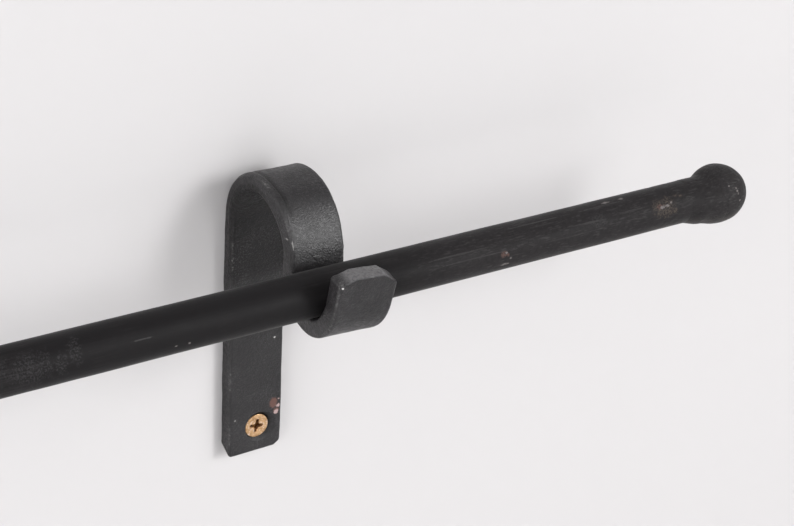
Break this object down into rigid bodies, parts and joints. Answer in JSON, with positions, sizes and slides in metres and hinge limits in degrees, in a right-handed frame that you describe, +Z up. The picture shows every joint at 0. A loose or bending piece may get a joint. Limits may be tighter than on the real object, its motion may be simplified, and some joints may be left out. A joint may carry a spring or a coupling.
{
  "type": "curtain rod with wall brackets",
  "caption": "Forged round curtain rod with a ball on each end, lying loose in hooked flat-bar wall brackets, each held by a countersunk wall screw.",
  "frame": {"origin": "on the wall face, half-way between the two wall screws", "axes": "+X along the rod to its right-hand end as seen from the room, +Y into the wall, +Z up"},
  "size_m": [0.8, 0.0837, 0.0929],
  "materials": {
    "blackened_bar": "blackened mild steel bar with a satin wax, fine drawn lines lengthwise, dull grey rubs and a few rust specks",
    "blackened_ball": "blackened forged ball, slightly uneven, with small bare chips",
    "dressed_weld": "rough dressed weld under the same black, with pale brown scale",
    "bracket_paint": "charcoal satin paint with a fine grainy texture over hand-bent flat bar, worn lighter along some edges",
    "yellow_zinc": "yellow passivated zinc on a steel screw, dark in the cross recess"
  },
  "bodies": {
    "brackets": {"bracket_left": "bracket_paint", "bracket_right": "bracket_paint", "wall_screw_left": "yellow_zinc", "wall_screw_right": "yellow_zinc"},
    "rod": {"rod_bar": "blackened_bar", "ball_end_left": "blackened_ball", "ball_end_right": "blackened_ball", "neck_weld_left": "dressed_weld", "neck_weld_right": "dressed_weld"}
  },
  "joints": [
    {"name": "rod_lift", "type": "slide", "parent": "brackets", "child": "rod", "axis": [0, 0, 1], "range_m": [0, 0.04]}
  ]
}
